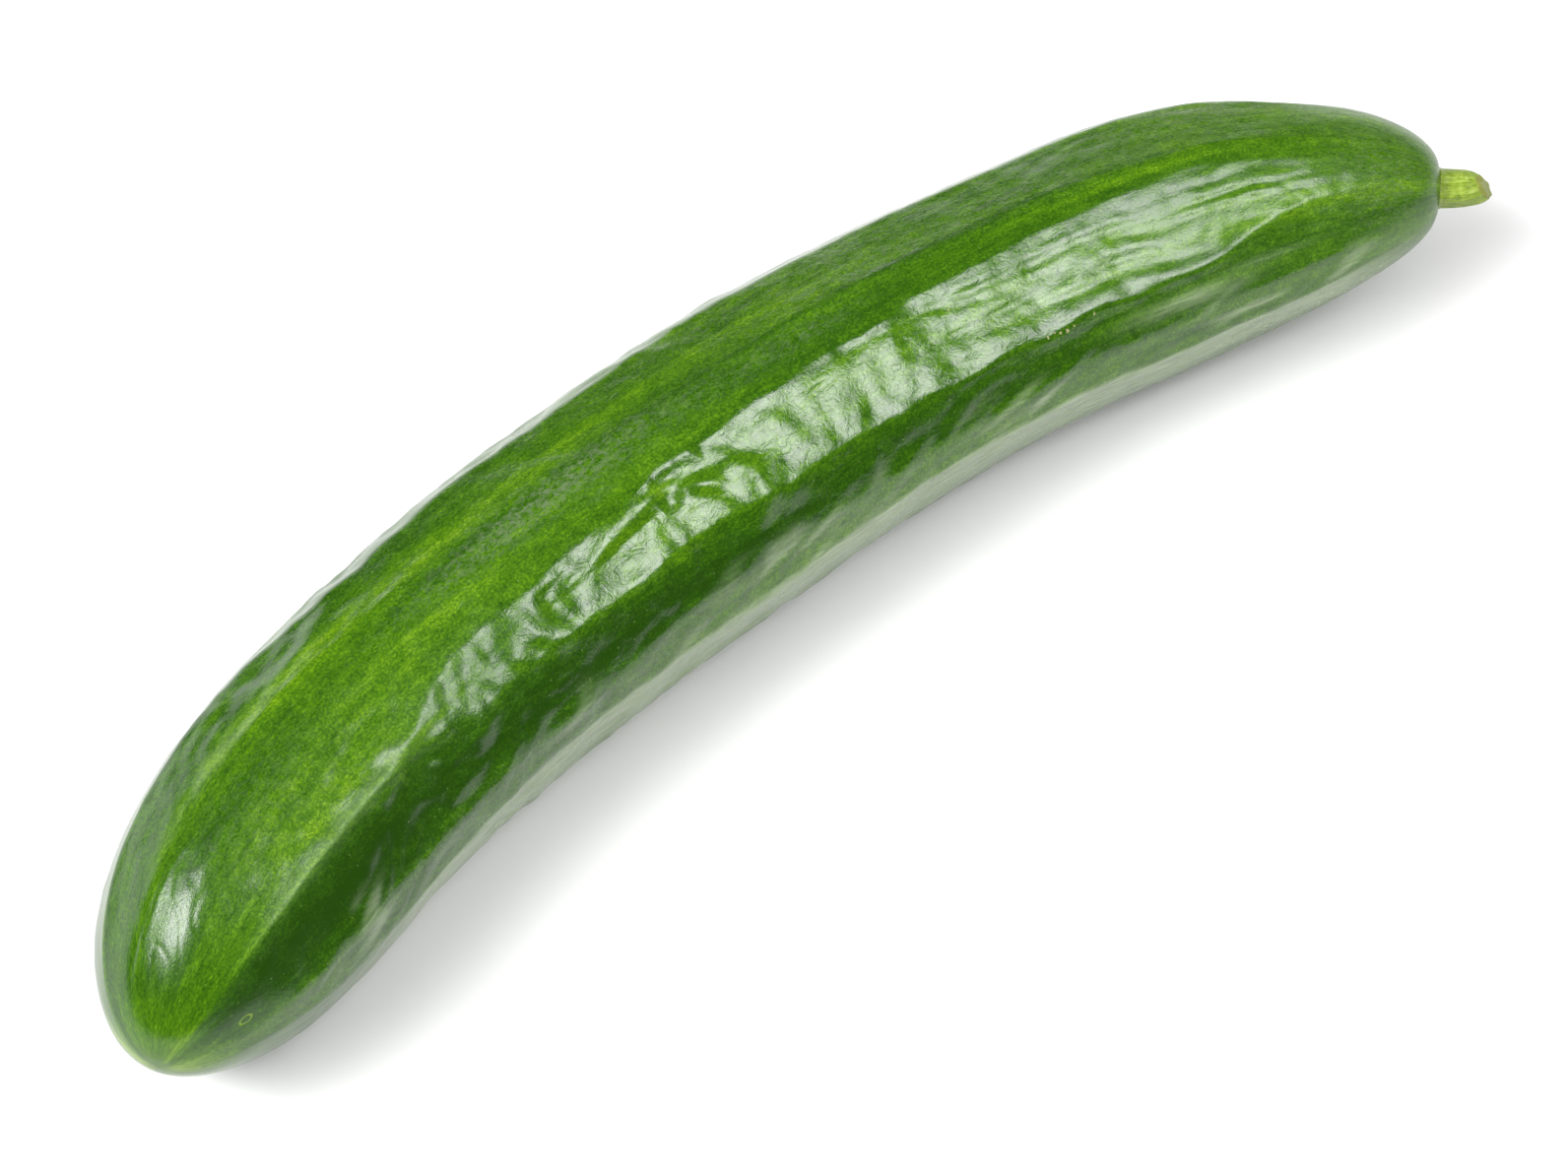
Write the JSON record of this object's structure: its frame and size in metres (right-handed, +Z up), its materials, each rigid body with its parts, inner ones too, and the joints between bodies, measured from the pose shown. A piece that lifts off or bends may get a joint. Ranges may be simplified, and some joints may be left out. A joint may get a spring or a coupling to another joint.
{
  "type": "cucumber",
  "caption": "Long bowed green cucumber with a rounded blossom end and a short cut stem, lying on its side.",
  "frame": {"origin": "on the surface the fruit lies on, under the middle of the whole", "axes": "+X from the blossom end to the stem end, +Z up, and the hollow side of the bow faces -Y"},
  "size_m": [0.2944, 0.067, 0.0514],
  "materials": {
    "skin": "waxy dark green skin with lighter lengthwise streaks, fine speckles and shallow puckers",
    "stalk": "pale yellow-green ribbed stalk with an olive-brown cut edge"
  },
  "bodies": {
    "root": {"fruit": "skin", "stem": "stalk"}
  },
  "joints": []
}
